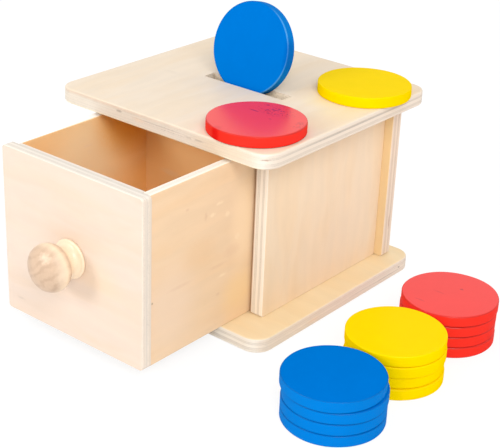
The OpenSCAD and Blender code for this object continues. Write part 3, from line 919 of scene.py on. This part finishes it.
def knob_body(radius, tall, looks):
    """A turned knob: a profile of radius and height carried round the axis.

    The foot's flat runs into a bead, the bead into a hollow, the hollow into the head's rim and the rim into
    the crown. Each is an arc that touches the next: the hollow's middle lies at the sum of the radii from
    the bead's and the rim's middles, and the crown's middle on the axis, where its arc meets both the tip
    and the rim's arc.
    """
    bead = np.array([looks.foot_radius - looks.foot_bead, looks.foot_bead])
    rim = np.array([radius - looks.head_rim, looks.head_at])
    to_bead, to_rim = looks.foot_bead + looks.cove, looks.head_rim + looks.cove
    apart = np.linalg.norm(rim - bead)
    ahead = (to_bead**2 - to_rim**2 + apart**2) / (2.0 * apart)
    aside = math.sqrt(to_bead**2 - ahead**2)
    way = (rim - bead) / apart
    cove = bead + ahead * way + aside * np.array([way[1], -way[0]])
    reach = tall - looks.head_rim
    crown = np.array([0.0, (reach**2 - rim @ rim) / (2.0 * (reach - rim[1]))])
    crown_turn = heading(crown, rim)
    whole = 2.0 * math.pi
    cove_start, cove_stop = heading(cove, bead) % whole, heading(cove, rim) % whole
    foot = np.stack([np.linspace(0.2, 0.95, FOOT_STEPS) * bead[0], np.zeros(FOOT_STEPS)], axis=-1)
    profile = np.vstack([
        foot,
        arc_points(bead, looks.foot_bead, -math.pi / 2.0, heading(bead, cove), BEAD_STEPS),
        arc_points(cove, looks.cove, cove_start, cove_stop, COVE_STEPS)[1:],
        arc_points(rim, looks.head_rim, heading(rim, cove), crown_turn, HEAD_STEPS)[1:],
        arc_points(crown, tall - crown[1], crown_turn, math.pi / 2.0, CROWN_STEPS)[1:-1],
    ])
    rings = np.ones((KNOB_AROUND, 1))
    return turned_body(rings * profile[:, 0], rings * profile[:, 1], (0.0, tall))


def soft_box(across, half):
    """1 inside a strip of that half width and 0 outside it, over a short slope."""
    return np.clip((half - np.abs(across)) / (0.3 * half) + 0.5, 0.0, 1.0)


def screw_body(tall, head, looks):
    """A countersunk wood screw, walked from the middle of its head to its point.

    On the head r = k R, sunk by the depth of a cross: the larger of two products of soft strips in x and y.
    The cone narrows in a straight line. On the shank r = core + thread (1 - |2 u - 1|), with u the fraction
    of h / pitch - t / (2 pi), and the thread dies away over one pitch at each end. The point narrows too.
    """
    angle = turn_angles(SCREW_AROUND)
    face = np.linspace(0.08, 1.0, SCREW_FACE_STEPS) * head
    x, y = face * np.cos(angle), face * np.sin(angle)
    half_wide, half_long = looks.cross_wide / 2.0, looks.cross_long / 2.0
    arms = [soft_box(x, half_wide) * soft_box(y, half_long), soft_box(y, half_wide) * soft_box(x, half_long)]
    sunk = looks.cross_deep * np.maximum(*arms)
    ones = np.ones_like(angle)
    cone = np.linspace(0.0, 1.0, 6)[1:]
    point = np.linspace(0.0, 0.95, 7)[1:]
    point_high = 2.0 * looks.core
    shank = np.linspace(looks.head_high, tall - point_high, SHANK_STEPS)[1:]
    turn = (shank / looks.pitch - angle / (2.0 * np.pi)) % 1.0
    ends = np.minimum(shank - looks.head_high, tall - point_high - shank)
    ridge = (1.0 - np.abs(2.0 * turn - 1.0)) * np.clip(ends / looks.pitch, 0.0, 1.0)
    radius = np.hstack([
        ones * face,
        ones * (head + (looks.core - head) * cone),
        looks.core + looks.thread * ridge,
        ones * (looks.core * (1.0 - point)),
    ])
    height = np.hstack([
        sunk,
        ones * (looks.head_high * cone),
        ones * shank,
        ones * (tall - point_high * (1.0 - point)),
    ])
    return turned_body(radius, height, (looks.cross_deep, tall))


def leaning(angle):
    """A turn that brings a body's axis from upright to forward, and then leans the body back by an angle."""
    up, back = math.cos(angle), math.sin(angle)
    return np.array([[1.0, 0.0, 0.0], [0.0, back, -up], [0.0, up, back]])


UPRIGHT = np.eye(3)
FORWARD = leaning(0.0)


def set_at(body, turns, places):
    """Copies of a body, each turned by a matrix and moved to its place."""
    points, faces = body
    turned = points @ turns.T
    copies = (turned[None] + np.asarray(places)[:, None]).reshape(-1, 3)
    starts = [copy * len(points) for copy in range(len(places))]
    shifted = [[corner + start for corner in face] for start in starts for face in faces]
    return copies, shifted


def put_in_scene(name, data):
    """A new object in the scene."""
    made = bpy.data.objects.new(name, data)
    bpy.context.scene.collection.objects.link(made)
    return made


def new_mesh(name, points, faces, finish):
    """A new mesh with one material."""
    mesh = bpy.data.meshes.new(name)
    mesh.from_pydata(points.tolist(), [], faces)
    mesh.materials.append(finish)
    return mesh


def add_piece(name, body, finish, node, slot):
    """A new smooth piece that stands for a node, rides on its body and wears the given finish. Its slot is
    unused.
    """
    mesh = new_mesh(name, *body, finish)
    mesh.polygons.foreach_set("use_smooth", np.ones(len(mesh.polygons), dtype=bool))
    mesh.update()
    piece = put_in_scene(name, mesh)
    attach(piece, frame["nodes"][node]["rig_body"])
    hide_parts(node)
    return piece


def dress(node, finish):
    """Gives a node of the packed model its material."""
    slots = frame["nodes"][node].material_slots
    if not slots:
        raise RuntimeError(f"{node} has no material slot")
    for slot in slots:
        slot.material = finish


def middle_and_size(node):
    """The middle of a node's box and its sides."""
    low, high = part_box(node)
    return (low + high) / 2.0, high - low


class COINBOX_OT_panels(bpy.types.Operator):
    """Dresses the base, the top, the side panels and the back panel in birch plywood"""

    bl_idname = "coinbox.panels"
    bl_label = "Dress the panels"

    def execute(self, context):
        for board in PANELS:
            dress(board.node, plywood(board, context.scene.coinbox_plywood))
        return {"FINISHED"}


class COINBOX_OT_drawer(bpy.types.Operator):
    """Dresses the drawer's boards in birch plywood"""

    bl_idname = "coinbox.drawer"
    bl_label = "Dress the drawer"

    def execute(self, context):
        for board in DRAWER_BOARDS:
            dress(board.node, plywood(board, context.scene.coinbox_plywood))
        return {"FINISHED"}


class COINBOX_OT_knob(bpy.types.Operator):
    """Turns the drawer's knob"""

    bl_idname = "coinbox.knob"
    bl_label = "Turn the knob"

    def execute(self, context):
        looks = context.scene.coinbox_knob
        middle, size = middle_and_size("drawer_knob")
        foot = Vector((middle.x, middle.y + size.y / 2.0, middle.z))
        body = set_at(knob_body(size.x / 2.0, size.y, looks), FORWARD, [foot])
        finish = turned_beech(looks, foot, MARKS["drawer_knob"])
        add_piece("turned_knob", body, finish, "drawer_knob", "turned_beech")
        return {"FINISHED"}


class COINBOX_OT_coins(bpy.types.Operator):
    """Makes the painted coins, each with its own grain and rims"""

    bl_idname = "coinbox.coins"
    bl_label = "Paint the coins"

    def execute(self, context):
        looks = context.scene.coinbox_coins
        finishes = {name: paint(name, looks, ()) for name in COLOURS}
        draw = np.random.default_rng(COIN_SEED)
        _, lying = middle_and_size("red_top_coin")
        for node in sorted(COIN_NODES):
            name = node.split("_")[0]
            middle, size = middle_and_size(node)
            standing = node == STANDING_COIN
            pose = leaning(looks.slot_lean) if standing else UPRIGHT
            body = coin_body(size.x / 2.0, lying.z, looks, draw)
            turn = draw.uniform(0.0, 2.0 * np.pi)
            cosine, sine = np.cos(turn), np.sin(turn)
            grain = np.array([[cosine, -sine, 0.0], [sine, cosine, 0.0], [0.0, 0.0, 1.0]])
            grain_place = body[0] @ grain.T * MM + draw.uniform(0.0, GRAIN_SHIFT, 3)
            placed = set_at(body, pose, [middle])
            # Only the standing coin gets the painted highlight along its rim
            worn = looks.worn if standing else 0.0
            finish = paint(name, looks, MARKS[node], worn) if node in MARKS else finishes[name]
            piece = add_piece(node + "_painted", placed, finish, node, name + "_paint")
            attribute = piece.data.attributes.new("grain_place", "FLOAT_VECTOR", "POINT")
            attribute.data.foreach_set("vector", grain_place.ravel())
            for part, values in coin_parts().items():
                attribute = piece.data.attributes.new(part, "FLOAT", "POINT")
                attribute.data.foreach_set("value", values)
        return {"FINISHED"}


class COINBOX_OT_screws(bpy.types.Operator):
    """Cuts the screws under the base and behind the knob"""

    bl_idname = "coinbox.screws"
    bl_label = "Cut the screws"

    def execute(self, context):
        looks = context.scene.coinbox_fastenings
        steel = plated_steel(looks)
        knob_middle, knob_size = middle_and_size("knob_screw")
        head = knob_size.x / 2.0
        _, base_size = middle_and_size("base_screws")
        low_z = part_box("base_screws")[0].z
        side_middle, side_size = middle_and_size("right_side_panel")
        back_middle, back_size = middle_and_size("back_panel")
        run = side_size.y / 2.0 - looks.pin_inset
        ways = (-1.0, 1.0)
        pins = [(side * side_middle.x, side_middle.y + end * run, low_z) for side in ways for end in ways]
        pins += [(side * back_size.x / 3.0, back_middle.y, low_z) for side in ways]
        body = screw_body(base_size.z, head, looks)
        add_piece("base_screws_cut", set_at(body, UPRIGHT, pins), steel, "base_screws", "screw_steel")
        start = (knob_middle.x, knob_middle.y + knob_size.y / 2.0, knob_middle.z)
        body = screw_body(knob_size.y, head, looks)
        add_piece("knob_screw_cut", set_at(body, FORWARD, [start]), steel, "knob_screw", "screw_steel")
        return {"FINISHED"}


class COINBOX_OT_dowels(bpy.types.Operator):
    """Dresses the dowels in bare hardwood"""

    bl_idname = "coinbox.dowels"
    bl_label = "Dress the dowels"

    def execute(self, context):
        finish = dowel_beech(context.scene.coinbox_fastenings)
        for node in ("top_dowels", "back_dowels", "drawer_dowels"):
            dress(node, finish)
        return {"FINISHED"}


class COINBOX_OT_stage(bpy.types.Operator):
    """Lays the floor, lights the box and sets the camera"""

    bl_idname = "coinbox.stage"
    bl_label = "Set the stage"

    def execute(self, context):
        looks = context.scene.coinbox_stage
        self.lay_floor(looks)
        self.light_sky(context.scene, looks)
        self.hang_lamp("key_lamp", looks.key_from, looks.key_away, looks.key_size, looks.key_power)
        self.hang_lamp("fill_lamp", looks.fill_from, looks.fill_away, looks.fill_size, looks.fill_power)
        self.set_camera(context.scene, looks)
        context.scene.view_settings.view_transform = "Standard"
        return {"FINISHED"}

    def lay_floor(self, looks):
        """A disc in the plane of the table: rings of radius r = R k^2 at angle t, just under the object."""
        spread = FLOOR_REACH * np.linspace(0.0, 1.0, FLOOR_RINGS + 1)[1:] ** 2
        angle = turn_angles(FLOOR_AROUND)
        level = np.full((FLOOR_AROUND, FLOOR_RINGS), FLOOR_LEVEL)
        grid = np.stack([spread * np.cos(angle), spread * np.sin(angle), level], axis=-1)
        points = np.vstack([grid.reshape(-1, 3), [[0.0, 0.0, FLOOR_LEVEL]]])
        index = np.arange(level.size).reshape(level.shape)
        after = np.roll(index, -1, axis=0)
        quads = np.stack([index[:, :-1], index[:, 1:], after[:, 1:], after[:, :-1]], axis=-1).reshape(-1, 4)
        fan = np.stack([np.full(FLOOR_AROUND, level.size), index[:, 0], after[:, 0]], axis=-1)
        mesh = new_mesh("floor", points, quads.tolist() + fan.tolist(), pale_floor(looks))
        floor = put_in_scene("floor", mesh)

    def light_sky(self, scene, looks):
        """A white surround for the camera, and for the rest a soft sky that goes from the horizon's light to
        the zenith's.
        """
        scene.world = bpy.data.worlds.new("soft_room")
        scene.world.use_nodes = True
        nodes = Nodes(scene.world.node_tree)
        up = nodes.split(nodes.add("ShaderNodeTexCoord", output="Generated"))[Z]
        level = nodes.ramp(up, 0.0, 1.0, smooth=False, to=(looks.horizon, looks.zenith))
        seen = nodes.seen()
        strength = level + seen * (1.0 - level)
        sky = nodes.add("ShaderNodeBackground", None, {"Color": (1.0, 1.0, 1.0, 1.0), "Strength": strength})
        nodes.add("ShaderNodeOutputWorld", None, {"Surface": sky})

    def hang_lamp(self, name, direction, away, size, power):
        """A square soft lamp in that direction, turned to the middle of the box."""
        lamp = bpy.data.lights.new(name, "AREA")
        lamp.size = size
        lamp.energy = power
        way = Vector(direction).normalized()
        turn = way.to_track_quat("Z", "Y").to_matrix().to_4x4()
        put_in_scene(name, lamp).matrix_world = Matrix.Translation(LAMP_AIM + way * away) @ turn

    def set_camera(self, scene, looks):
        """A camera on a sphere about its target, given by its azimuth, elevation and roll."""
        a, e, r = looks.azimuth, looks.elevation, looks.roll
        back = Vector((math.sin(a) * math.cos(e), -math.cos(a) * math.cos(e), math.sin(e)))
        level = Vector((math.cos(a), math.sin(a), 0.0))
        upright = back.cross(level)
        right = level * math.cos(r) + upright * math.sin(r)
        top = upright * math.cos(r) - level * math.sin(r)
        place = Vector(looks.target) + back * looks.away
        lens = bpy.data.cameras.new("camera")
        lens.sensor_fit = "HORIZONTAL"
        lens.sensor_width = SENSOR_WIDTH
        lens.lens = looks.lens
        lens.clip_start = NEAREST_SEEN
        scene.camera = put_in_scene("camera", lens)
        turn = Matrix((right, top, back)).transposed().to_4x4()
        scene.camera.matrix_world = Matrix.Translation(place) @ turn


GROUPS = {
    "coinbox_plywood": COINBOX_PG_plywood,
    "coinbox_coins": COINBOX_PG_coins,
    "coinbox_knob": COINBOX_PG_knob,
    "coinbox_fastenings": COINBOX_PG_fastenings,
    "coinbox_stage": COINBOX_PG_stage,
}
OPERATORS = (
    COINBOX_OT_panels,
    COINBOX_OT_drawer,
    COINBOX_OT_knob,
    COINBOX_OT_coins,
    COINBOX_OT_screws,
    COINBOX_OT_dowels,
    COINBOX_OT_stage,
)


class COINBOX_PT_sidebar(bpy.types.Panel):
    """Lists the steps that dress the box, and the sizes and colours that they use"""

    bl_idname = "COINBOX_PT_sidebar"
    bl_label = "Coin Box"
    bl_space_type = "VIEW_3D"
    bl_region_type = "UI"
    bl_category = "Coin Box"

    def draw(self, context):
        for operator in OPERATORS:
            self.layout.operator(operator.bl_idname)
        for attribute, group in GROUPS.items():
            box = self.layout.box()
            box.label(text=group.__doc__)
            for name in group.__annotations__:
                box.prop(getattr(context.scene, attribute), name)


def register():
    """Registers the classes and gives the scene their settings."""
    for made in (*GROUPS.values(), *OPERATORS, COINBOX_PT_sidebar):
        bpy.utils.register_class(made)
    for attribute, group in GROUPS.items():
        setattr(bpy.types.Scene, attribute, PointerProperty(type=group))


def unregister():
    """Takes the settings and the classes away again."""
    for attribute in GROUPS:
        delattr(bpy.types.Scene, attribute)
    for made in (COINBOX_PT_sidebar, *reversed(OPERATORS), *reversed(list(GROUPS.values()))):
        bpy.utils.unregister_class(made)


def main():
    """Dresses the box piece by piece."""
    register()
    bpy.ops.coinbox.panels()
    bpy.ops.coinbox.drawer()
    bpy.ops.coinbox.knob()
    bpy.ops.coinbox.coins()
    bpy.ops.coinbox.screws()
    bpy.ops.coinbox.dowels()
    bpy.ops.coinbox.stage()


if __name__ == "__main__":
    main()
